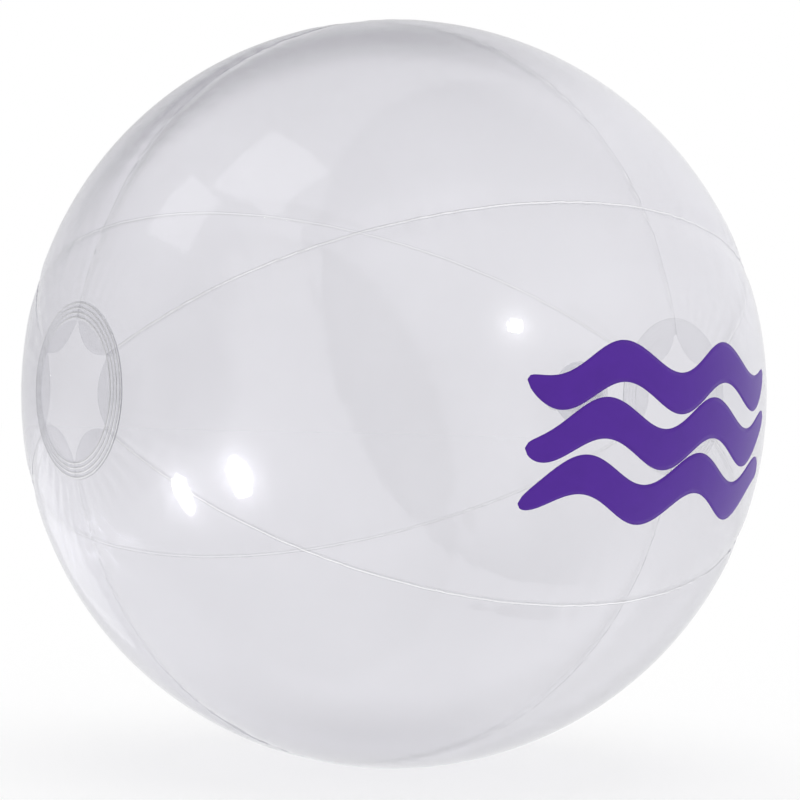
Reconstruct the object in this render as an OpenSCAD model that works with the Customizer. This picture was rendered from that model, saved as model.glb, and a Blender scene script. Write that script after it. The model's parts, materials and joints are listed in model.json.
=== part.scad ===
// Inflated clear vinyl beach ball: six gore panels, six welded seams, two round end caps and an air valve.
// The polar axis, through the two end caps, is modelled along Z and then laid along X.

/* [Ball] */
// Diameter across the middle of the panels
ball_d = 280; // [200:1:420]
// Gauge of the vinyl film
film_t = 0.25; // [0.15:0.05:0.6]
// Distance from the polar axis at which the round middle gives way to the flatter shoulder
shoulder_reach = 90; // [80:1:100]
// Distance from the polar axis at which the shoulder gives way to the flatter end
end_reach = 66; // [65:1:72]
// Turn of the surface, in degrees, where it flattens
ease = 2; // [0.8:0.1:3]

/* [Panels and seams] */
// Width of a seam weld
seam_w = 1.1; // [0.6:0.1:3]
// Height of the weld bead outside the film
seam_bead = 0.2; // [0.1:0.05:0.6]
// Depth of the welded fin inside the film
seam_fin = 1.6; // [0.5:0.1:4]

/* [End caps] */
// Radius of an end cap
cap_r = 31.5; // [28:0.5:36]
// Gauge of an end cap
cap_t = 0.3; // [0.2:0.05:0.8]
// Gap between an end cap and the panel ends under it
cap_gap = 0.05; // [0.02:0.01:0.2]
// Number of raised weld rings on an end cap
cap_rings = 4; // [2:1:5]
// Distance between weld rings
ring_pitch = 1.7; // [1.2:0.1:2]
// Radius of a weld ring's bead
ring_bead = 0.35; // [0.2:0.05:0.5]
// How far a cap laps over the panel ends, at a seam
cap_lap = 6.5; // [5.5:0.5:10]
// How much nearer the pole a panel end comes at its middle than at its seams
panel_bulge = 7.5; // [5:0.5:11]

/* [Valve] */
// Distance of the valve's middle from the polar axis
valve_reach = 51.5; // [48:0.5:56]
// Radius of the welded base flange
base_r = 13; // [11:0.5:15]
// Gauge of the base flange
base_t = 1; // [0.8:0.1:1.5]
// Gap between the base flange and the film
base_gap = 0.05; // [0.02:0.01:0.2]
// Length of the base's guide collar below the film
collar_len = 7; // [5:0.5:9]
// Wall of the guide collar
collar_wall = 1.9; // [1.2:0.1:2.5]
// Outer radius of the stem
stem_r = 5.5; // [5:0.1:6]
// Running clearance of the stem in the collar, on the radius
stem_clear = 0.08; // [0.02:0.01:0.1]
// Clearance of the stem in the hole in the film, on the radius
hole_clear = 0.7; // [0.4:0.1:1.2]
// Bore for a pump nozzle
nozzle_bore_d = 8; // [6.4:0.1:8.4]
// How far the stem pulls out
stem_travel = 9.5; // [6:0.5:9.5]
// How far the stem's outer lip laps over the edge of the hole in the film
lip_lap = 1.8; // [1:0.1:2.6]
// Thickness of the stem's outer lip
lip_t = 1.2; // [0.8:0.1:1.6]
// Gap between the pushed-in lip and the film
lip_gap = 0.3; // [0.3:0.05:0.6]
// Width of the ring that stops the stem from pulling out, beyond the stem's wall
stop_w = 1.5; // [1:0.1:2]
// Thickness of that ring
stop_t = 1.5; // [1:0.1:2]
// Gap left between that ring and the collar when the stem is right out
stop_gap = 0.5; // [0.3:0.1:1]
// Length of the stem beyond that ring
stem_tail = 1.5; // [1:0.1:4]

/* [Plug] */
// Bore of the plug's seat in the stem
seat_d = 9.2; // [9:0.1:9.6]
// Depth of the plug's seat
seat_depth = 6; // [5:0.5:8]
// Clearance of the stopper in its seat under the head, on the radius
stopper_clear = 0.2; // [0.1:0.05:0.4]
// How much the stopper's radius tapers towards its tip
stopper_taper = 0.7; // [0.6:0.05:1.2]
// Length of the stopper
stopper_len = 3.5; // [2.5:0.1:3.5]
// How far the plug's head laps over the edge of its seat
head_lap = 1.4; // [0.8:0.1:2]
// Thickness of the plug's head
head_t = 1.3; // [1:0.1:1.6]
// Gap under the plug's head and under its strap
head_gap = 0.1; // [0.05:0.01:0.15]
// How far the pull tab reaches beyond the head
tab_len = 2.5; // [1.5:0.1:4]
// Width of the pull tab and of the strap
strap_w = 5; // [3:0.1:6]
// Thickness of the pull tab and of the strap
strap_t = 1; // [0.6:0.1:1.2]
// How far beyond the stem's lip the strap's hinge lies
hinge_out = 1.4; // [1:0.1:3]
// Radius of the strap's round hinge root
hinge_r = 0.7; // [0.6:0.05:0.9]
// Width of the ear under the strap, beyond the strap on each side
ear_side = 1; // [0.5:0.1:1.5]

/* [Check flap] */
// How far the flap laps over the end of the stem round the bore
flap_lap = 1; // [0.5:0.1:1.4]
// Thickness of the flap
flap_t = 0.6; // [0.4:0.05:1]
// Gap between the flap and the stem
flap_gap = 0.1; // [0.05:0.01:0.2]
// Radius of the flap's round hinge root
flap_root_r = 0.5; // [0.4:0.05:0.7]
// Width of the flap's hinge
flap_hinge_w = 4; // [3:0.1:6]

/* [Hidden] */
$fn = 240;
clear_film = [0.87, 0.87, 0.90, 0.35];
clear_weld = [0.78, 0.78, 0.82, 0.6];
clear_vinyl = [0.85, 0.86, 0.89, 0.6];

panels = 6;
panel_angle = 360 / panels;
ball_r = ball_d / 2;
// Middle, shoulder and end are parts of spheres centred on the polar axis, each flatter than the last.
shoulder_r = shoulder_reach / sin(asin(shoulder_reach / ball_r) - ease);
shoulder_z = height_on(0, ball_r, shoulder_reach) - height_on(0, shoulder_r, shoulder_reach);
end_r = end_reach / sin(asin(end_reach / shoulder_r) - ease);
end_z = height_on(shoulder_z, shoulder_r, end_reach) - height_on(0, end_r, end_reach);
pole_z = end_z + end_r;
// A tool this long or wide reaches past the ball from anywhere in it.
past_ball = 2 * ball_d;

// The panel ends leave a window under each cap; a panel's rounded end is an arc through three known points.
window_seam_r = cap_r - cap_lap;
window_panel_r = window_seam_r - panel_bulge;
window_chord = window_seam_r * sin(panel_angle / 2);
window_rise = window_seam_r * cos(panel_angle / 2) - window_panel_r;
panel_end_r = (window_chord * window_chord + window_rise * window_rise) / (2 * window_rise);
panel_end_at = window_panel_r + panel_end_r;

// The valve sits on the flatter end of the second panel, on the panel's middle line.
valve_panel = 2;
valve_tilt = asin(valve_reach / end_r);
valve_phi = (valve_panel - 0.5) * panel_angle;
valve_z = height_on(end_z, end_r, valve_reach);
// A cut this long at the valve goes through the film there and nowhere else.
valve_cut_h = ball_r;
collar_bore_r = stem_r + stem_clear;
hole_r = stem_r + hole_clear;
collar_r = collar_bore_r + collar_wall;
collar_top = -(film_t + base_gap + base_t / 2);
lip_r = hole_r + lip_lap;
lip_top = lip_gap + lip_t;
stop_r = stem_r + stop_w;
stop_z = -(collar_len + stem_travel + stop_gap + stop_t);
stem_end = stop_z - stem_tail;
seat_z = lip_top - seat_depth;
stopper_top_r = seat_d / 2 - stopper_clear;
stopper_tip_r = stopper_top_r - stopper_taper;
head_r = seat_d / 2 + head_lap;
head_z = lip_top + head_gap;
head_top = head_z + head_t;
tab_end = head_r + tab_len;
hinge_reach = lip_r + hinge_out;
hinge_z = head_z + hinge_r;
ear_w = strap_w + 2 * ear_side;
ear_end = hinge_reach + hinge_r;
flap_r = nozzle_bore_d / 2 + flap_lap;
flap_z = stem_end - flap_gap - flap_t;
flap_hinge_at = stem_r + flap_gap + flap_root_r;
flap_hinge_z = flap_z + flap_t / 2;

// Lays the polar axis along X, with a seam at the top.
module lay_on_side() rotate([0, 90, 0]) children();

// Height, on a sphere with its centre on the polar axis, at a distance from that axis.
function height_on(centre_z, r, reach) = centre_z + sqrt(r * r - reach * reach);

// Overlap of a disc with its mirror image below.
module lens(centre_z, r) intersection() {
  translate([0, centre_z]) circle(r);
  translate([0, -centre_z]) circle(r);
}

// Section of the ball, grown by an offset.
module ball_section(offset) intersection() {
  circle(ball_r + offset);
  lens(shoulder_z, shoulder_r + offset);
  lens(end_z, end_r + offset);
}

// Section of a layer that follows the ball's surface between two offsets, on one side of the polar axis.
module skin_section(out, in, from_reach) intersection() {
  difference() {
    ball_section(out);
    ball_section(in);
  }
  translate([from_reach, -past_ball / 2]) square(past_ball);
}

// A copy at each end of the ball.
module both_ends() {
  children();
  mirror([0, 0, 1]) children();
}

// The gap that the panel ends leave round a pole, as seen along the polar axis.
module window_cut(middle_phi) {
  rotate(middle_phi) linear_extrude(past_ball) difference() {
    circle(window_seam_r + seam_w);
    translate([panel_end_at, 0]) circle(panel_end_r);
  }
}

// Puts its children in the valve's own frame: Z out through the film, Y towards the ball's middle.
module at_valve() {
  rotate(valve_phi - 90) translate([0, valve_reach, valve_z]) rotate([-valve_tilt, 0, 0]) children();
}

// One gore, with its edges trimmed for the welds, its two ends rounded, and a hole if it holds the valve.
module gore_panel(i) {
  color(clear_film) lay_on_side() difference() {
    rotate((i - 1) * panel_angle) rotate_extrude(angle = panel_angle)
      skin_section(0, -film_t, window_panel_r / 2);
    for (edge = [i - 1, i]) rotate(edge * panel_angle) translate([0, -seam_w / 2, -past_ball / 2])
      cube([past_ball, seam_w, past_ball]);
    both_ends() window_cut((i - 0.5) * panel_angle);
    if (i == valve_panel) at_valve() cylinder(h = valve_cut_h, r = hole_r, center = true);
  }
}

// One welded seam: a fin inside, flush with the film under the caps, and a bead outside between them.
module seam_weld(i) {
  color(clear_weld) lay_on_side() rotate((i - 1) * panel_angle) rotate([90, 0, 0])
    linear_extrude(seam_w, center = true) {
      skin_section(0, -(film_t + seam_fin), window_seam_r);
      skin_section(seam_bead, -film_t, cap_r + ring_bead);
    }
}

// Round cap over the panel ends, with raised weld rings near its edge; the +Z one.
module end_cap() {
  top_r = end_r + cap_gap + cap_t;
  rotate_extrude() difference() {
    union() {
      intersection() {
        translate([0, end_z]) circle(top_r);
        translate([0, pole_z / 2]) square([cap_r, pole_z]);
      }
      for (k = [0 : cap_rings - 1]) {
        r = cap_r - ring_bead - k * ring_pitch;
        translate([r, height_on(end_z, top_r, r)]) circle(ring_bead);
      }
    }
    translate([0, end_z]) circle(end_r + cap_gap);
  }
}

module plain_end_cap() color(clear_film) lay_on_side() mirror([0, 0, 1]) end_cap();

module valve_end_cap() color(clear_film) lay_on_side() end_cap();

// Flange welded under the film, with the collar that the stem slides in.
module valve_base() {
  color(clear_vinyl) lay_on_side() difference() {
    union() {
      intersection() {
        rotate((valve_panel - 1) * panel_angle) rotate_extrude(angle = panel_angle)
          skin_section(-(film_t + base_gap), -(film_t + base_gap + base_t), window_panel_r);
        at_valve() cylinder(h = valve_cut_h, r = base_r, center = true);
      }
      at_valve() translate([0, 0, -collar_len]) cylinder(h = collar_len + collar_top, r = collar_r);
    }
    at_valve() cylinder(h = valve_cut_h, r = collar_bore_r, center = true);
  }
}

// Stem with its outer lip, the ear for the plug's strap, the stop ring, the nozzle bore and the plug's seat.
module valve_stem() {
  color(clear_vinyl) lay_on_side() at_valve() difference() {
    union() {
      translate([0, 0, stem_end]) cylinder(h = lip_top - stem_end, r = stem_r);
      translate([0, 0, lip_gap]) cylinder(h = lip_t, r = lip_r);
      translate([-ear_w / 2, 0, lip_gap]) cube([ear_w, ear_end, lip_t]);
      translate([0, 0, stop_z]) cylinder(h = stop_t, r = stop_r);
    }
    cylinder(h = valve_cut_h, d = nozzle_bore_d, center = true);
    translate([0, 0, seat_z]) cylinder(h = valve_cut_h, d = seat_d);
  }
}

// Flap that closes the inner end of the stem, with its round hinge root beside the stem.
module check_flap() {
  color(clear_vinyl) lay_on_side() at_valve() union() {
    translate([0, 0, flap_z]) cylinder(h = flap_t, r = flap_r);
    translate([-flap_hinge_w / 2, 0, flap_z]) cube([flap_hinge_w, flap_hinge_at, flap_t]);
    translate([-flap_hinge_w / 2, flap_hinge_at, flap_hinge_z]) rotate([0, 90, 0])
      cylinder(h = flap_hinge_w, r = flap_root_r);
  }
}

// Plug: tapered stopper, round head and pull tab.
module valve_plug() {
  color(clear_vinyl) lay_on_side() at_valve() union() {
    translate([0, 0, head_z]) cylinder(h = head_t, r = head_r);
    translate([0, 0, lip_top - stopper_len])
      cylinder(h = stopper_len + head_gap, r1 = stopper_tip_r, r2 = stopper_top_r);
    translate([-strap_w / 2, -tab_end, head_top - strap_t]) cube([strap_w, tab_end, strap_t]);
  }
}

// Strap that tethers the plug's head to the ear of the stem, with its round hinge root.
module plug_strap() {
  color(clear_vinyl) lay_on_side() at_valve() difference() {
    union() {
      translate([-strap_w / 2, 0, hinge_z - strap_t / 2]) cube([strap_w, hinge_reach, strap_t]);
      translate([-strap_w / 2, hinge_reach, hinge_z]) rotate([0, 90, 0]) cylinder(h = strap_w, r = hinge_r);
    }
    cylinder(h = valve_cut_h, r = head_r, center = true);
  }
}

for (i = [1 : panels]) {
  gore_panel(i);
  seam_weld(i);
}
plain_end_cap();
valve_end_cap();
valve_base();
valve_stem();
check_flap();
valve_plug();
plug_strap();
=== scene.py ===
"""Looks of a clear inflatable beach ball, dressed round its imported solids."""

import json
import math

import bpy
import numpy as np
from mathutils import Matrix, Vector


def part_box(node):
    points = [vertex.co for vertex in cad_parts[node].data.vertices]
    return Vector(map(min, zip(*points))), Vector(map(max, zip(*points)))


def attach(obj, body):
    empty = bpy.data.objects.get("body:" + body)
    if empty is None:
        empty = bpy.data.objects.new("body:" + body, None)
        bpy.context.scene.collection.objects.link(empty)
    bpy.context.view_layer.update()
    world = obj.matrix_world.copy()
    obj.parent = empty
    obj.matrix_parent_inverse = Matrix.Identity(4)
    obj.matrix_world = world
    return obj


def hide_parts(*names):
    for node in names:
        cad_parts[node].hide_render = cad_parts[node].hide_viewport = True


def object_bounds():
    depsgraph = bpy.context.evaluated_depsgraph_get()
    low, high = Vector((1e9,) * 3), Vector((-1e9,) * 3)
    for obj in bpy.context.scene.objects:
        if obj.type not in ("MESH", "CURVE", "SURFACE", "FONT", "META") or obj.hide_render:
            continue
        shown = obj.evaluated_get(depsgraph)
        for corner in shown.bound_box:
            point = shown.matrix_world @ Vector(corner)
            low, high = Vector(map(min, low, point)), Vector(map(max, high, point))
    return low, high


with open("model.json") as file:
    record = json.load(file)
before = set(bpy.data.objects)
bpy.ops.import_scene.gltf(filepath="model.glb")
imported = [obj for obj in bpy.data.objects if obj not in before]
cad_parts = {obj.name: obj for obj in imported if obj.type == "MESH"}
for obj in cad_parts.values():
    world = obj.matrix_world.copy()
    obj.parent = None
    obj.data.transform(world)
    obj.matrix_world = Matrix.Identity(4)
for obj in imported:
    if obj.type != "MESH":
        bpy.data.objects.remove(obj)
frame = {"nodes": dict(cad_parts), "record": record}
cad_low, cad_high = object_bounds()
scene = bpy.context.scene

# Sizes that the solids give, in metres
CAP_LIFT = 0.00035
BALL_R = -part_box("gore_panel_5")[0].y
CAP_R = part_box("plain_end_cap")[1].y
POLE_FLAT = BALL_R - (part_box("valve_end_cap")[1].x - CAP_LIFT)
POLE_R = BALL_R - POLE_FLAT
SEAM_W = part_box("seam_weld_1")[1].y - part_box("seam_weld_1")[0].y

# Film and caps, as in the solids
PANELS = 6
PANEL_ANGLE = 2 * math.pi / PANELS
PANEL_BULGE = 0.0075
FILM_T = 0.00025
FLAT_POWER = 8
CAP_GAP = 0.00005
CAP_LAP = 0.0065
CAP_SEGMENTS = 144
CAP_TOP_STEPS = 12
CAP_UNDER_STEPS = 24
RING_STEPS = 9
CAP_RINGS = 4
RING_PITCH = 0.0017
RING_BEAD = 0.00035
RING_HALF = 0.00055
# Part of each ring's turn, as angles, that takes the painted highlight; the rest of the ring takes painted
# shade
RING_CREST = (0.3 * math.pi, 0.8 * math.pi)

# Seam welds: a ribbed bead outside, which fades out near the caps, and a fin inside
SEAM_BEAD = 0.00025
SEAM_FIN = 0.0016
BEAD_FADE = (CAP_R, 1.1 * CAP_R)
RIB_PITCH = 0.004
RIB_SHARE = 0.25

# Section of a seam: shoulders and fin as shares of its half width, and depths under the skin
SHOULDER_OUT = 0.4
SHOULDER_RISE = 0.9
FIN_HALF = 0.35
FIN_ROOT = 1.4 * FILM_T
FIN_TIP = FILM_T + SEAM_FIN

# Small forms of blown-up film: a valley along each seam, puckers beside it and pleats round the caps
CALM_NEAR_CAP = (CAP_R, 1.7 * CAP_R)
VALLEY_DEPTH = 0.0007
VALLEY_WIDTH = 0.0055
PUCKER_HEIGHT = 0.00016
PUCKER_REACH = 0.012
PUCKER_PITCH = 0.013
PUCKER_STAGGER = 2.1
PUCKER_WANDER = 3
PUCKER_WANDERS = 17
PLEAT_HEIGHT = 0.00022
PLEAT_REACH = 0.014
PLEAT_START = 0.004
PLEAT_COUNT = 42
PLEAT_WANDERS = 5

# Valve place, from its mount, and the plain film round its base
BORE = next(m for m in frame["record"]["mounts"] if m["name"] == "inflation_bore")
VALVE_AXIS = Vector(BORE["axis"])
VALVE_PLACE = Vector(BORE["pos_m"])
VALVE_PANEL = 2
VALVE_BASE_R = 0.015
VALVE_LIFT = 0.0001
VALVE_CALM = 0.012
VALVE_HOLE_R = 0.0062
HOLE_CUT_LENGTH = 0.04
HOLE_CUT_OUT = 0.012

# Printed bands on the front panel
PRINT_PANEL = 5
PRINT_BANDS = 3
PRINT_LENGTH = 0.136
PRINT_BAND_W = 0.0145
PRINT_PITCH = 0.0195
PRINT_WAVE = 0.0055
PRINT_WAVES = 2.5
PRINT_PHASE = -1.3
PRINT_STAGGER = 0.9
PRINT_AHEAD = 0.031
PRINT_DROP = 0.0095
PRINT_END_POWER = 6
PRINT_TIP = 0.02
INK_LIFT = 0.00003
INK_T = 0.00004
INK_TINT = (0.081, 0.016, 0.312)
INK_VARIATION = 0.08
INK_GRAIN = 160

# Clear vinyl: a sharp and a soft gloss, a tint that varies a little, and a fine grain
SHEEN = (0.90, 0.90, 0.915, 1)
SHARP_ROUGHNESS = 0.03
SOFT_ROUGHNESS = 0.22
SOFT_SHARE = 0.4
EDGE_POWER = 5
CLOUD = 0.008
CLOUD_SCALE = 14
CLOUD_RANGE = (0.3, 0.7)
BUMP_STRENGTH = 0.35
GRAIN_BUMP = (750, 0.00005)
FILM_BUMP = (30, 0.0006)
CAP_BUMP = (60, 0.0004)
WELD_BUMP = (900, 0.0002)

# Looks of clear vinyl, some of which paint shade and highlights: its tint, its gloss seen face on and at
# the edge, and its bump's scale and depth
FINISHES_AND_PAINTED_LIGHT = {
    "clear_film": ((0.928, 0.926, 0.939), 0.04, 1, FILM_BUMP),
    "bonded_film": ((0.96, 0.96, 0.965), 0.04, 0.15, CAP_BUMP),
    "weld_inside": ((0.99, 0.99, 0.99), 0.01, 0.15, WELD_BUMP),
    # Painted shade: a darker tint on the flanks of the seam beads and of the near cap's rings
    "weld_painted_shade": ((0.845, 0.843, 0.865), 0.03, 1, WELD_BUMP),
    "ring_painted_shade": ((0.875, 0.875, 0.89), 0.03, 1, WELD_BUMP),
    # Painted highlight: a strong gloss and a lighter tint on the crests of the near cap's rings and of the
    # seam beads
    "ring_painted_highlight": ((0.985, 0.985, 0.985), 0.5, 1, WELD_BUMP),
    "weld_painted_highlight": ((0.985, 0.985, 0.985), 0.38, 1, WELD_BUMP),
    # Fainter painted shade and painted highlight on the far cap's rings, as if less light fell there
    "far_ring_painted_shade": ((0.93, 0.93, 0.94), 0.03, 0.4, WELD_BUMP),
    "far_ring_painted_highlight": ((0.97, 0.97, 0.975), 0.12, 0.4, WELD_BUMP),
    "cap_film": ((0.937, 0.935, 0.947), 0.04, 1, CAP_BUMP),
}

# Moulded vinyl of the valve
VINYL_TINTS = ((0.85, 0.86, 0.90, 1), (0.92, 0.93, 0.95, 1))
VINYL_ALPHA = 0.4
VINYL_ROUGHNESS = (0.25, 0.45)
VINYL_GRAIN = 350
VINYL_BUMP_DEPTH = 0.0001
VINYL_BUMP_STRENGTH = 0.2
SOFT_EDGE_W = 0.00015
SOFT_EDGE_ANGLE = math.radians(50)

# Camera, fitted to the outline, the end cap and the seams in the photograph
CAMERA_AZIMUTH = math.radians(-34)
CAMERA_ELEVATION = math.radians(1.1)
CAMERA_ROLL = math.radians(1.4)
CAMERA_DISTANCE = 8.95 * BALL_R
CAMERA_LENS = 150
SENSOR = 36
PHOTO_SIDE = 800
PHOTO_CENTRE = (393, 394)

# Studio round the ball as its gloss shows it; directions are right, up and towards the camera
STUDIO_R = 3
SCREEN_AXIS = (0.779, 0.342, 0.525)
SCREEN_NEAR_SIDE = (-0.342, 0.223, 0.913)
SCREEN_NEAR_FADE = (-0.45, 0)
SCREEN_REACH = math.radians(73)
SCREEN_BRIGHT = 1.75
SCREEN_FADE = 0.6
BACK_REACH = math.radians(115)
BACK_GLOW = 0.18
BACK_FADE = 0.3
TABLE_AXIS = (0.45, -0.85, 0.25)
TABLE_EDGE = (0.3, 0.9)
TABLE_GLOW = 0.35

# Dark things in the studio: the direction of each, its soft edge as cosines, and how dark it is
CEILING = ((-0.2, 0.98, 0), (0.72, 0.95), 0.45)
WALL = ((-0.95, 0.3, 0), (0.74, 0.93), 0.65)
DOOR = ((-0.904, 0.032, 0.428), (0.945, 0.99), 0.75)

# Dark curtain behind the ball: its edges in degrees, away from the camera and round from the right
CURTAIN_DARK = 0.95
CURTAIN_START = (111, 126)
CURTAIN_END = (132, 155)
CURTAIN_END_THIN = 0.8
CURTAIN_RIGHT = (48, 90)
CURTAIN_FOLD = (125, 160)
CURTAIN_FOLD_THIN = 0.55
CURTAIN_LEFT = (178, 195)

# Lamps, and the share of the plain light that comes from above and how wide that light looks
LAMP_DISTANCE = 1.2
LOW_LAMP_DISTANCE = 0.318
TOP_LIGHT_SHARE = 0.3
TOP_LIGHT_WIDTH = math.radians(60)

# White floor, and how many clear layers a ray may cross
WHITE = (1, 1, 1, 1)
FLOOR_R = 4
FLOOR_GLOW = 0.5
CLEAR_LAYERS = 48


def smoothstep(low, high, x):
    """A smooth rise from 0 at low to 1 at high."""
    t = np.clip((x - low) / (high - low), 0, 1)
    return t * t * (3 - 2 * t)


def end_reach(phi):
    """Distance from the polar axis of a panel's rounded end, at an angle from the panel's middle line."""
    at_seam = CAP_R - CAP_LAP
    at_middle = at_seam - PANEL_BULGE
    chord = at_seam * math.sin(PANEL_ANGLE / 2)
    rise = at_seam * math.cos(PANEL_ANGLE / 2) - at_middle
    arc_r = (chord**2 + rise**2) / (2 * rise)
    centre = at_middle + arc_r
    return centre * np.cos(phi) - np.sqrt(arc_r**2 - (centre * np.sin(phi)) ** 2)


def on_ball(radius, theta, phi):
    """Points in the row frame; theta is from +X, and phi goes round the polar axis from a seam."""
    radius, theta, phi = np.broadcast_arrays(radius, theta, phi)
    reach = radius * np.sin(theta)
    return np.stack([radius * np.cos(theta), reach * np.sin(phi), -reach * np.cos(phi)], axis=-1)


def plain_radius(theta):
    """Distance from the ball's centre to its plain surface: a sphere with slightly flatter ends."""
    return BALL_R - POLE_FLAT * np.cos(theta) ** FLAT_POWER


def seam_forms(theta, phi, reach):
    """Depth of the valley along the nearest seam, with the puckers beside it."""
    panel = np.floor(phi / PANEL_ANGLE)
    from_seam = np.abs((phi + PANEL_ANGLE / 2) % PANEL_ANGLE - PANEL_ANGLE / 2) * reach
    valley = VALLEY_DEPTH * np.exp(-((from_seam / VALLEY_WIDTH) ** 2))
    along = BALL_R * theta
    wander = PUCKER_WANDER * np.sin(PUCKER_WANDERS * theta + panel)
    wave = np.sin(2 * math.pi * along / PUCKER_PITCH + PUCKER_STAGGER * panel + wander)
    pucker = PUCKER_HEIGHT * wave * np.exp(-from_seam / PUCKER_REACH)
    return smoothstep(*CALM_NEAR_CAP, reach) * (valley + pucker)


def pleats(phi, reach):
    """Depth of the pleats that run out from under a cap."""
    beyond_cap = np.maximum(reach - CAP_R, 0)
    wave = PLEAT_HEIGHT * np.cos(PLEAT_COUNT * phi + np.sin(PLEAT_WANDERS * phi))
    return wave * np.exp(-beyond_cap / PLEAT_REACH) * smoothstep(0, PLEAT_START, beyond_cap)


def skin_radius(theta, phi):
    """Distance from the ball's centre to its film with the small forms, which stay clear of the valve."""
    plain = plain_radius(theta)
    reach = plain * np.sin(theta)
    valve_way = np.array(VALVE_PLACE.normalized())
    off_valve = plain * np.arccos(np.clip(on_ball(1, theta, phi) @ valve_way, -1, 1))
    ruffled = smoothstep(VALVE_BASE_R, VALVE_BASE_R + VALVE_CALM, off_valve)
    forms = seam_forms(theta, phi, reach) + pleats(phi, reach)
    return plain - ruffled * forms + VALVE_LIFT * (1 - ruffled)


def add_mesh(name, points, faces, *materials):
    """A smooth mesh piece that rides on the ball."""
    mesh = bpy.data.meshes.new(name)
    mesh.from_pydata([tuple(p) for p in points], [], faces)
    mesh.shade_smooth()
    for material in materials:
        mesh.materials.append(material)
    piece = bpy.data.objects.new(name, mesh)
    scene.collection.objects.link(piece)
    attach(piece, "ball")
    return piece


def grid_faces(rows, columns, first=0, flip=False):
    """Quads of a grid of points numbered row by row."""
    faces = []
    for i in range(rows - 1):
        for j in range(columns - 1):
            a = first + i * columns + j
            quad = (a, a + 1, a + columns + 1, a + columns)
            faces.append(quad[::-1] if flip else quad)
    return faces


def shell_mesh(name, outer, inner, *materials):
    """A closed thin shell between two grids of points of the same shape."""
    rows, columns = outer.shape[:2]
    count = rows * columns
    faces = grid_faces(rows, columns) + grid_faces(rows, columns, count, flip=True)
    top = list(range(columns))
    right = [i * columns + columns - 1 for i in range(rows)]
    bottom = [(rows - 1) * columns + j for j in reversed(range(columns))]
    left = [i * columns for i in reversed(range(rows))]
    rim = top + right[1:] + bottom[1:] + left[1:]
    for a, b in zip(rim, rim[1:]):
        faces.append((b, a, a + count, b + count))
    points = np.concatenate([outer.reshape(-1, 3), inner.reshape(-1, 3)])
    return add_mesh(name, points, faces, *materials)


def tube_faces(rows, ring):
    """Faces of a closed tube of points numbered ring by ring, with its two ends last."""
    faces = []
    for i in range(rows - 1):
        for j in range(ring):
            k = (j + 1) % ring
            faces.append((i * ring + j, i * ring + k, (i + 1) * ring + k, (i + 1) * ring + j))
    last = (rows - 1) * ring
    faces.append(tuple(reversed(range(ring))))
    faces.append(tuple(range(last, last + ring)))
    return faces


def lathe_mesh(name, profile, finishes_and_painted_light, materials):
    """A closed solid turned about the polar axis; each step of its profile has a material's number."""
    turns = np.arange(CAP_SEGMENTS) * 2 * math.pi / CAP_SEGMENTS
    points = [(profile[0][0], 0, 0)]
    for x, reach in profile[1:-1]:
        points += [(x, reach * math.sin(t), -reach * math.cos(t)) for t in turns]
    points.append((profile[-1][0], 0, 0))
    rings = len(profile) - 2
    faces = []
    for i in range(rings + 1):
        for j in range(CAP_SEGMENTS):
            k = (j + 1) % CAP_SEGMENTS
            a = 1 + (i - 1) * CAP_SEGMENTS
            b = a + CAP_SEGMENTS
            if i == 0:
                faces.append((0, b + j, b + k))
            elif i == rings:
                faces.append((a + j, b, a + k))
            else:
                faces.append((a + j, b + j, b + k, a + k))
    piece = add_mesh(name, points, faces, *materials)
    for face in piece.data.polygons:
        face.material_index = finishes_and_painted_light[face.index // CAP_SEGMENTS]
    return piece


def node_material(name):
    """An empty node material, and functions that add a node to it and link two sockets."""
    material = bpy.data.materials.new(name)
    material.use_nodes = True
    tree = material.node_tree
    tree.nodes.clear()

    def add(kind, **inputs):
        node = tree.nodes.new(kind)
        for socket, value in inputs.items():
            node.inputs[socket.replace("_", " ")].default_value = value
        return node

    return material, add, tree.links.new


def noise_level(add, link, scale, detail):
    """Noise that is fixed to the piece."""
    place = add("ShaderNodeTexCoord")
    noise = add("ShaderNodeTexNoise", Scale=scale, Detail=detail)
    link(place.outputs["Object"], noise.inputs["Vector"])
    return noise.outputs["Fac"]


def ramp_colour(add, link, level, colours, positions=(0, 1)):
    """A colour that goes from the first to the second as the level rises."""
    ramp = add("ShaderNodeValToRGB")
    for element, position, colour in zip(ramp.color_ramp.elements, positions, colours):
        element.position = position
        element.color = colour
    link(level, ramp.inputs["Fac"])
    return ramp.outputs["Color"]


def varied(tint, share):
    """The darker and the lighter colour of a tint that varies by a share."""
    return [[c * (1 - share) for c in tint] + [1], [c * (1 + share) for c in tint] + [1]]


def vinyl_relief(add, link, bump):
    """Normal of clear vinyl: a fine grain under broader ripples."""
    grain_scale, grain_depth = GRAIN_BUMP
    ripple_scale, ripple_depth = bump
    grain = add("ShaderNodeBump", Strength=BUMP_STRENGTH, Distance=grain_depth)
    ripple = add("ShaderNodeBump", Strength=BUMP_STRENGTH, Distance=ripple_depth)
    link(noise_level(add, link, grain_scale, detail=2), grain.inputs["Height"])
    link(noise_level(add, link, ripple_scale, detail=3), ripple.inputs["Height"])
    link(grain.outputs["Normal"], ripple.inputs["Normal"])
    return ripple.outputs["Normal"]


def vinyl_gloss(add, link, normal):
    """Gloss of clear vinyl: a sharp one and a soft one together."""
    sharp = add("ShaderNodeBsdfGlossy", Color=SHEEN, Roughness=SHARP_ROUGHNESS)
    soft = add("ShaderNodeBsdfGlossy", Color=SHEEN, Roughness=SOFT_ROUGHNESS)
    gloss = add("ShaderNodeMixShader", Fac=SOFT_SHARE)
    for lobe, socket in ((sharp, gloss.inputs[1]), (soft, gloss.inputs[2])):
        link(normal, lobe.inputs["Normal"])
        link(lobe.outputs[0], socket)
    return gloss.outputs[0]


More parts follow.
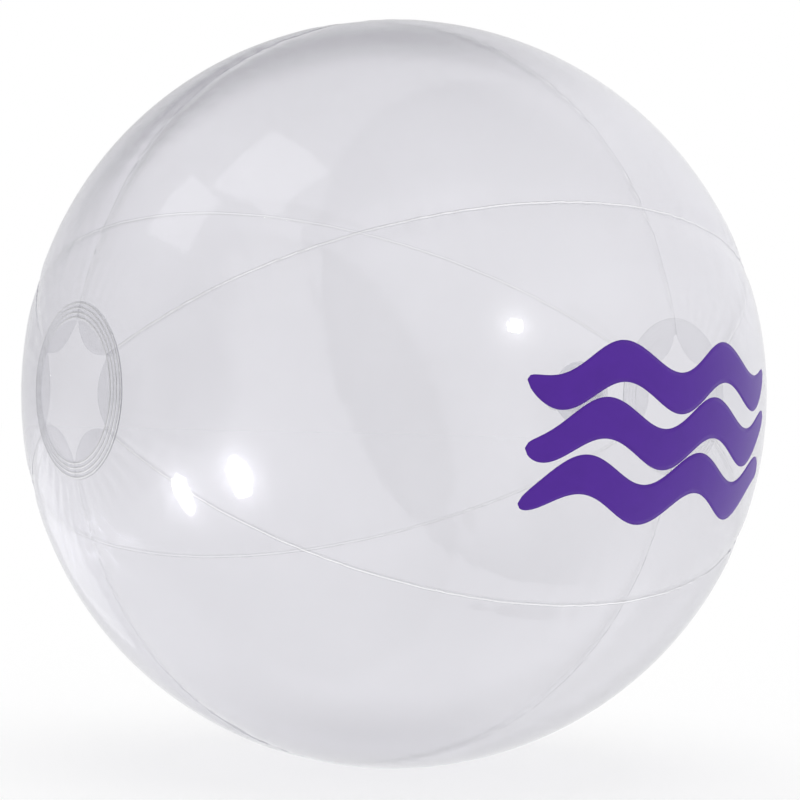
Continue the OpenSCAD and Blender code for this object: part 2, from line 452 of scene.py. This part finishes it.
def gloss_share(add, link, facing_gloss, edge_gloss):
    """Share of gloss, which grows towards the edge of a curved surface."""
    facing = add("ShaderNodeLayerWeight", Blend=0.5)
    power = add("ShaderNodeMath")
    power.operation = "POWER"
    power.inputs[1].default_value = EDGE_POWER
    share = add("ShaderNodeMath")
    share.operation = "MULTIPLY_ADD"
    share.inputs[1].default_value = edge_gloss - facing_gloss
    share.inputs[2].default_value = facing_gloss
    link(facing.outputs["Facing"], power.inputs[0])
    link(power.outputs[0], share.inputs[0])
    return share.outputs[0]


def clear_material(name, tint, facing_gloss, edge_gloss, bump):
    """Clear vinyl: a tinted see-through body under a gloss."""
    material, add, link = node_material(name)
    body = add("ShaderNodeBsdfTransparent")
    mix = add("ShaderNodeMixShader")
    output = add("ShaderNodeOutputMaterial")
    cloud = noise_level(add, link, CLOUD_SCALE, detail=4)
    link(ramp_colour(add, link, cloud, varied(tint, CLOUD), CLOUD_RANGE), body.inputs["Color"])
    link(gloss_share(add, link, facing_gloss, edge_gloss), mix.inputs[0])
    link(body.outputs[0], mix.inputs[1])
    link(vinyl_gloss(add, link, vinyl_relief(add, link, bump)), mix.inputs[2])
    link(mix.outputs[0], output.inputs["Surface"])
    return material


def vinyl_material():
    """Moulded vinyl of the valve: milky, softly glossy and half see-through."""
    material, add, link = node_material("valve_vinyl")
    vinyl = add("ShaderNodeBsdfPrincipled", Alpha=VINYL_ALPHA)
    rough = add("ShaderNodeMapRange", To_Min=VINYL_ROUGHNESS[0], To_Max=VINYL_ROUGHNESS[1])
    bump = add("ShaderNodeBump", Strength=VINYL_BUMP_STRENGTH, Distance=VINYL_BUMP_DEPTH)
    output = add("ShaderNodeOutputMaterial")
    grain = noise_level(add, link, VINYL_GRAIN, detail=4)
    link(ramp_colour(add, link, grain, VINYL_TINTS), vinyl.inputs["Base Color"])
    link(grain, rough.inputs["Value"])
    link(grain, bump.inputs["Height"])
    link(rough.outputs["Result"], vinyl.inputs["Roughness"])
    link(bump.outputs["Normal"], vinyl.inputs["Normal"])
    link(vinyl.outputs[0], output.inputs["Surface"])
    return material


def ink_material():
    """Screen-printed ink: even colour with a faint unevenness and a soft gloss."""
    material, add, link = node_material("print_ink")
    ink = add("ShaderNodeBsdfPrincipled", Roughness=0.4, Specular_IOR_Level=0.2)
    output = add("ShaderNodeOutputMaterial")
    grain = noise_level(add, link, INK_GRAIN, detail=4)
    link(ramp_colour(add, link, grain, varied(INK_TINT, INK_VARIATION)), ink.inputs["Base Color"])
    link(ink.outputs[0], output.inputs["Surface"])
    return material


def gore_grid(panel, lift):
    """Grid of points over one panel, closer together beside its seams, with a row at each cap's edge."""
    end_rows, rows, columns = 7, 160, 41
    across = np.sin(np.linspace(-1, 1, columns) * math.pi / 2)[None, :]
    start = np.arcsin(end_reach(across * PANEL_ANGLE / 2) / POLE_R)
    edge = math.asin(CAP_R / plain_radius(math.asin(CAP_R / BALL_R)))
    under_cap = start + np.linspace(0, 1, end_rows)[:-1, None] * (edge - start)
    between = np.linspace(edge, math.pi - edge, rows)[:, None] + 0 * start
    theta = np.concatenate([under_cap, between, math.pi - under_cap[::-1]])
    seam_angle = np.arcsin(SEAM_W / 2 / (plain_radius(theta) * np.sin(theta)))
    phi = (panel - 0.5) * PANEL_ANGLE + across * (PANEL_ANGLE / 2 - seam_angle)
    return on_ball(skin_radius(theta, phi) + lift, theta, phi)


def cut_valve_hole(piece):
    """Opens the round hole for the valve's stem in its panel."""
    bpy.ops.mesh.primitive_cylinder_add(vertices=64, radius=VALVE_HOLE_R, depth=HOLE_CUT_LENGTH)
    cutter = bpy.context.object
    turned = VALVE_AXIS.to_track_quat("Z", "Y").to_matrix().to_4x4()
    cutter.matrix_world = Matrix.Translation(VALVE_PLACE + VALVE_AXIS * HOLE_CUT_OUT) @ turned
    cut = piece.modifiers.new("valve_hole", "BOOLEAN")
    cut.operation = "DIFFERENCE"
    cut.object = cutter
    bpy.context.view_layer.update()
    shape = piece.evaluated_get(bpy.context.evaluated_depsgraph_get())
    opened = bpy.data.meshes.new_from_object(shape)
    piece.modifiers.clear()
    piece.data = opened
    opened.shade_smooth()
    bpy.data.objects.remove(cutter)


def gore_piece(panel, materials):
    """One panel of film, whose ends are bonded to the caps."""
    outer = gore_grid(panel, 0)
    inner = gore_grid(panel, -FILM_T)
    piece = shell_mesh(f"film_panel_{panel}", outer, inner, *materials)
    if panel == VALVE_PANEL:
        cut_valve_hole(piece)
    for face in piece.data.polygons:
        face.material_index = int(math.hypot(face.center.y, face.center.z) < CAP_R)
    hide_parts(f"gore_panel_{panel}")


def seam_outline():
    """Section of a seam: share of the half width, share of the bead's rise, and depth under the skin."""
    bead = [(-1, 0, 0), (-SHOULDER_OUT, SHOULDER_RISE, 0), (0, 1, 0), (SHOULDER_OUT, SHOULDER_RISE, 0)]
    right = [(1, 0, 0), (1, 0, FILM_T), (FIN_HALF, 0, FIN_ROOT), (FIN_HALF, 0, FIN_TIP)]
    left = [(-FIN_HALF, 0, FIN_TIP), (-FIN_HALF, 0, FIN_ROOT), (-1, 0, FILM_T)]
    return bead + right + left


def seam_piece(number, materials):
    """One welded seam: a ribbed bead outside, and inside the fin of the two panels' edges; the bead has
    painted shade on its flanks and a painted highlight on its crest.
    """
    rows = 420
    # Faces round the bead that take painted shade (flanks) and a painted highlight (crest)
    flank, crest = (0, 3), (1, 2)
    phi = (number - 1) * PANEL_ANGLE
    sideways = np.array([0, math.cos(phi), math.sin(phi)]) * SEAM_W / 2
    start = math.asin((CAP_R - CAP_LAP) / POLE_R)
    theta = np.linspace(start, math.pi - start, rows)
    top = skin_radius(theta, phi)
    reach = plain_radius(theta) * np.sin(theta)
    ribs = 1 - RIB_SHARE + RIB_SHARE * np.sin(2 * math.pi * BALL_R * theta / RIB_PITCH)
    bead = SEAM_BEAD * smoothstep(*BEAD_FADE, reach) * ribs
    columns = []
    for side, rise, depth in seam_outline():
        columns.append(on_ball(top + rise * bead - depth, theta, phi) + sideways * side)
    ring = len(columns)
    points = np.stack(columns, axis=1).reshape(-1, 3)
    piece = add_mesh(f"seam_{number}", points, tube_faces(rows, ring), *materials)
    # Flanks get the painted-shade material, the crest the painted-highlight material, and the rest the
    # clear one
    for face in piece.data.polygons[: (rows - 1) * ring]:
        column = face.index % ring
        face.material_index = (column in flank) + 2 * (column in crest)
    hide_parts(f"seam_weld_{number}")


def cap_profile():
    """Half section of a cap as reach, lift and material number: flat film, ring flank in painted shade, or
    ring crest with a painted highlight.
    """
    flat, flank, crest = 0, 1, 2
    top_r = CAP_R - CAP_LAP - RING_HALF
    steps = [(reach, CAP_LIFT, flat) for reach in np.linspace(0, top_r, CAP_TOP_STEPS)]
    for k in reversed(range(CAP_RINGS)):
        centre = CAP_R - RING_HALF - k * RING_PITCH
        for turn in np.linspace(math.pi, 0, RING_STEPS):
            lift = CAP_LIFT + RING_BEAD * math.sin(turn)
            # Ring crests take the painted highlight and flanks the painted shade
            finish_or_painted_light = crest if RING_CREST[0] < turn < RING_CREST[1] else flank
            steps.append((centre + RING_HALF * math.cos(turn), lift, finish_or_painted_light))
        steps[-1] = steps[-1][:2] + (flat,)
    steps += [(reach, CAP_GAP, flat) for reach in np.linspace(CAP_R, 0, CAP_UNDER_STEPS)]
    return steps


def cap_piece(node, side, materials):
    """One end cap: a thin disc that follows the ball's end, with rounded weld rings near its edge that
    carry painted shade on their flanks and a painted highlight on their crests.
    """
    profile = []
    finishes_and_painted_light = []
    for reach, lift, finish_or_painted_light in cap_profile():
        theta = math.asin(reach / POLE_R)
        profile.append((side * (plain_radius(theta) + lift) * math.cos(theta), reach))
        finishes_and_painted_light.append(finish_or_painted_light)
    piece = lathe_mesh(f"{node}_film", profile, finishes_and_painted_light, materials)
    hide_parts(node)


def print_piece(band, material):
    """One printed band: a long wave with rounded ends on the front panel, not mirrored in the film."""
    rows, columns = 130, 9
    along = np.linspace(-1, 1, rows)[:, None]
    across = np.linspace(-1, 1, columns)[None, :]
    width = PRINT_BAND_W / 2 * np.sqrt(np.clip(1 - along**PRINT_END_POWER, PRINT_TIP**2, 1))
    wave = PRINT_WAVE * np.sin(math.pi * PRINT_WAVES * along + PRINT_STAGGER * band + PRINT_PHASE)
    drop = PRINT_DROP + (band - (PRINT_BANDS - 1) / 2) * PRINT_PITCH
    x = PRINT_AHEAD + along * PRINT_LENGTH / 2
    z = wave + across * width - drop
    theta = math.pi / 2 - x / BALL_R + 0 * z
    phi = (PRINT_PANEL - 0.5) * PANEL_ANGLE - z / BALL_R / np.sin(theta)
    skin = skin_radius(theta, phi)
    outer = on_ball(skin + INK_LIFT + INK_T, theta, phi)
    inner = on_ball(skin + INK_LIFT, theta, phi)
    piece = shell_mesh(f"printed_band_{band + 1}", outer, inner, material)
    piece.visible_glossy = False


def dress_valve(material):
    """The valve keeps its solids, with softened edges and the look of moulded vinyl."""
    for node in ("valve_base", "valve_stem", "check_flap", "valve_plug", "plug_strap"):
        solid = frame["nodes"][node]
        solid.data.materials.clear()
        solid.data.materials.append(material)
        edge = solid.modifiers.new("soft_edge", "BEVEL")
        edge.width = SOFT_EDGE_W
        edge.segments = 2
        edge.limit_method = "ANGLE"
        edge.angle_limit = SOFT_EDGE_ANGLE


def camera_axes():
    """Right, up and back directions of the camera in the row frame."""
    ahead = math.cos(CAMERA_ELEVATION)
    across = math.sin(CAMERA_AZIMUTH) * ahead
    back = Vector((across, -math.cos(CAMERA_AZIMUTH) * ahead, math.sin(CAMERA_ELEVATION)))
    level = Vector((0, 0, 1)).cross(back).normalized()
    upright = back.cross(level)
    right = level * math.cos(CAMERA_ROLL) + upright * math.sin(CAMERA_ROLL)
    return right, back.cross(right), back


def add_camera():
    """A long lens at the photograph's viewing angle."""
    right, up, back = camera_axes()
    lens = bpy.data.cameras.new("camera")
    lens.lens = CAMERA_LENS
    lens.sensor_width = SENSOR
    lens.shift_x = (PHOTO_SIDE / 2 - PHOTO_CENTRE[0]) / PHOTO_SIDE
    lens.shift_y = (PHOTO_CENTRE[1] - PHOTO_SIDE / 2) / PHOTO_SIDE
    camera = bpy.data.objects.new("camera", lens)
    axes = Matrix((right, up, back)).transposed().to_4x4()
    camera.matrix_world = Matrix.Translation(back * CAMERA_DISTANCE) @ axes
    scene.collection.objects.link(camera)
    scene.camera = camera


def camera_direction(right_up_back):
    """A direction in the row frame from one given as right, up and towards the camera."""
    axes = camera_axes()
    return sum((axis * part for axis, part in zip(axes, right_up_back)), Vector()).normalized()


def add_lamp(name, way, size, brightness, lit, distance=LAMP_DISTANCE, shape="ELLIPSE"):
    """A light aimed at the ball, which shines only on the pieces named."""
    aim = camera_direction(way)
    lamp = bpy.data.lights.new(name, "AREA")
    lamp.shape = shape
    lamp.size, lamp.size_y = size
    lamp.energy = brightness * math.pi * size[0] * size[1]
    if shape == "ELLIPSE":
        lamp.energy *= math.pi / 4
    box = bpy.data.objects.new(name, lamp)
    box.location = aim * distance
    box.rotation_mode = "QUATERNION"
    box.rotation_quaternion = aim.to_track_quat("Z", "Y")
    box.visible_camera = False
    scene.collection.objects.link(box)
    receivers = bpy.data.collections.new(f"{name}_lights")
    for piece in lit:
        receivers.objects.link(bpy.data.objects[piece])
    box.light_linking.receiver_collection = receivers


def add_lamps():
    """Lamps for the three bright spots, the two windows and the pale patch at the lower left."""
    front = ["film_panel_5", "seam_5", "seam_6"]
    back = ["film_panel_2"]
    upper = {"lit": ["film_panel_4"], "shape": "RECTANGLE"}
    lower = {"lit": ["film_panel_1"], "distance": LOW_LAMP_DISTANCE}
    add_lamp("front_light", way=(0.550, 0.307, 0.777), size=(0.065, 0.075), brightness=90, lit=front)
    add_lamp("back_light", way=(0.778, 0.420, 0.467), size=(0.16, 0.25), brightness=70, lit=back)
    add_lamp("side_light", way=(0.899, 0.432, 0.079), size=(0.14, 0.20), brightness=60, lit=back)
    add_lamp("window_low", way=(-0.720, 0.580, 0.05), size=(0.36, 0.32), brightness=1, **upper)
    add_lamp("window_high", way=(-0.420, 0.740, 0.20), size=(0.52, 0.40), brightness=1, **upper)
    add_lamp("low_light", way=(-0.79, -0.38, -0.475), size=(0.12, 0.20), brightness=0.3, **lower)


def pointing(ways, axis):
    """How far each direction points along an axis, from -1 to 1."""
    return np.clip(ways @ np.array(Vector(axis).normalized()), -1, 1)


def screen_light(ways):
    """Brightness of the plain studio with a bright screen, whose light falls off from its middle."""
    off = np.arccos(pointing(ways, SCREEN_AXIS))
    near_share = smoothstep(*SCREEN_NEAR_FADE, pointing(ways, SCREEN_NEAR_SIDE))
    back = 1 + BACK_GLOW * (1 - near_share) * smoothstep(0, BACK_FADE, 1 - off / BACK_REACH)
    screen = SCREEN_BRIGHT * np.clip(1 - off / SCREEN_REACH, 0, 1) ** SCREEN_FADE
    return np.where(off < SCREEN_REACH, back + near_share * (screen - back), back)


def left_by(ways, axis, edge, dark):
    """Share of the light that is left round one dark thing."""
    return 1 - dark * smoothstep(*edge, pointing(ways, axis))


def left_by_curtain(ways):
    """Share of the light that the dark curtain leaves; it thins out at its far end and along a fold."""
    behind = np.degrees(np.arccos(pointing(ways, (0, 0, 1))))
    turn = np.degrees(np.arctan2(ways[:, 1], ways[:, 0])) % 360
    curtain = CURTAIN_DARK * smoothstep(*CURTAIN_START, behind)
    curtain *= 1 - CURTAIN_END_THIN * smoothstep(*CURTAIN_END, behind)
    curtain *= smoothstep(*CURTAIN_RIGHT, turn) * (1 - CURTAIN_FOLD_THIN * smoothstep(*CURTAIN_FOLD, turn))
    curtain *= 1 - smoothstep(*CURTAIN_LEFT, turn)
    return 1 - curtain


def studio_shade(ways):
    """Brightness of the studio in each direction: screen and table bright, and four things dark."""
    table = TABLE_GLOW * smoothstep(*TABLE_EDGE, pointing(ways, TABLE_AXIS))
    shade = (screen_light(ways) + table) * left_by_curtain(ways)
    for dark_thing in (CEILING, WALL, DOOR):
        shade *= left_by(ways, *dark_thing)
    return shade


def studio_material():
    """Light of the brightness that the dome's points hold."""
    material, add, link = node_material("studio")
    level = add("ShaderNodeAttribute")
    level.attribute_name = "shade"
    glow = add("ShaderNodeEmission", Color=WHITE)
    output = add("ShaderNodeOutputMaterial")
    link(level.outputs["Fac"], glow.inputs["Strength"])
    link(glow.outputs[0], output.inputs["Surface"])
    material.cycles.emission_sampling = "NONE"
    return material


def add_studio():
    """A dome round the ball, seen only in its gloss."""
    rows, columns = 121, 241
    tilt = np.linspace(0, math.pi, rows)[:, None]
    turn = np.linspace(0, 2 * math.pi, columns)[None, :]
    parts = (np.sin(tilt) * np.cos(turn), np.sin(tilt) * np.sin(turn), np.cos(tilt) + 0 * turn)
    ways = np.stack(parts, axis=-1).reshape(-1, 3)
    points = STUDIO_R * ways @ np.array(camera_axes())
    mesh = bpy.data.meshes.new("studio")
    mesh.from_pydata(points.tolist(), [], grid_faces(rows, columns))
    mesh.materials.append(studio_material())
    shade = mesh.attributes.new("shade", "FLOAT", "POINT")
    shade.data.foreach_set("value", studio_shade(ways).tolist())
    dome = bpy.data.objects.new("studio", mesh)
    dome.visible_camera = False
    dome.visible_diffuse = False
    dome.visible_transmission = False
    dome.visible_shadow = False
    scene.collection.objects.link(dome)


def white_room():
    """A world that looks white, directly and in gloss, and leaves part of the light to the top light."""
    world = bpy.data.worlds.new("white_room")
    world.use_nodes = True
    tree = world.node_tree
    room = tree.nodes["Background"]
    room.inputs["Color"].default_value = WHITE
    ray = tree.nodes.new("ShaderNodeLightPath")
    strength = tree.nodes.new("ShaderNodeMapRange")
    strength.inputs["To Min"].default_value = 1
    strength.inputs["To Max"].default_value = 1 - TOP_LIGHT_SHARE
    tree.links.new(ray.outputs["Is Diffuse Ray"], strength.inputs["Value"])
    tree.links.new(strength.outputs["Result"], room.inputs["Strength"])
    return world


def add_top_light():
    """A wide soft light from above, for the forms of the valve and the shadow on the floor."""
    lamp = bpy.data.lights.new("top_light", "SUN")
    lamp.angle = TOP_LIGHT_WIDTH
    lamp.energy = TOP_LIGHT_SHARE * math.pi
    light = bpy.data.objects.new("top_light", lamp)
    light.visible_camera = False
    light.visible_glossy = False
    scene.collection.objects.link(light)


def floor_material():
    """White that takes a shadow and glows a little."""
    material, add, link = node_material("floor_white")
    white = add("ShaderNodeBsdfDiffuse", Color=WHITE)
    glow = add("ShaderNodeEmission", Color=WHITE, Strength=1)
    mix = add("ShaderNodeMixShader", Fac=FLOOR_GLOW)
    output = add("ShaderNodeOutputMaterial")
    link(white.outputs[0], mix.inputs[1])
    link(glow.outputs[0], mix.inputs[2])
    link(mix.outputs[0], output.inputs["Surface"])
    return material


def add_stage():
    """A white floor under the ball, in an even white room."""
    place = (0, 0, cad_low.z)
    bpy.ops.mesh.primitive_circle_add(vertices=96, radius=FLOOR_R, fill_type="NGON", location=place)
    floor = bpy.context.object
    floor.name = "floor"
    floor.data.materials.append(floor_material())
    floor.visible_glossy = False
    scene.world = white_room()


def add_pieces():
    """Every piece of the ball, with the look of its material, and painted shade and highlights on the seam
    beads and cap rings.
    """
    clear = {name: clear_material(name, *finish_or_painted_light) for name, finish_or_painted_light in FINISHES_AND_PAINTED_LIGHT.items()}
    vinyl = vinyl_material()
    ink = ink_material()
    film = (clear["clear_film"], clear["bonded_film"])
    # Seam materials: the clear fin, painted shade on the bead's flanks and a painted highlight on its
    # crest
    weld = (clear["weld_inside"], clear["weld_painted_shade"], clear["weld_painted_highlight"])
    for number in range(1, PANELS + 1):
        gore_piece(number, film)
        seam_piece(number, weld)
    # Cap materials: flat film, painted shade on the rings' flanks and a painted highlight on their crests,
    # fainter on the far cap
    far_cap = (clear["cap_film"], clear["far_ring_painted_shade"], clear["far_ring_painted_highlight"])
    near_cap = (clear["cap_film"], clear["ring_painted_shade"], clear["ring_painted_highlight"])
    cap_piece("valve_end_cap", 1, far_cap)
    cap_piece("plain_end_cap", -1, near_cap)
    for band in range(PRINT_BANDS):
        print_piece(band, ink)
    dress_valve(vinyl)


add_pieces()
add_stage()
add_camera()
add_top_light()
add_studio()
add_lamps()
scene.cycles.transparent_max_bounces = CLEAR_LAYERS
scene.view_settings.view_transform = "Standard"
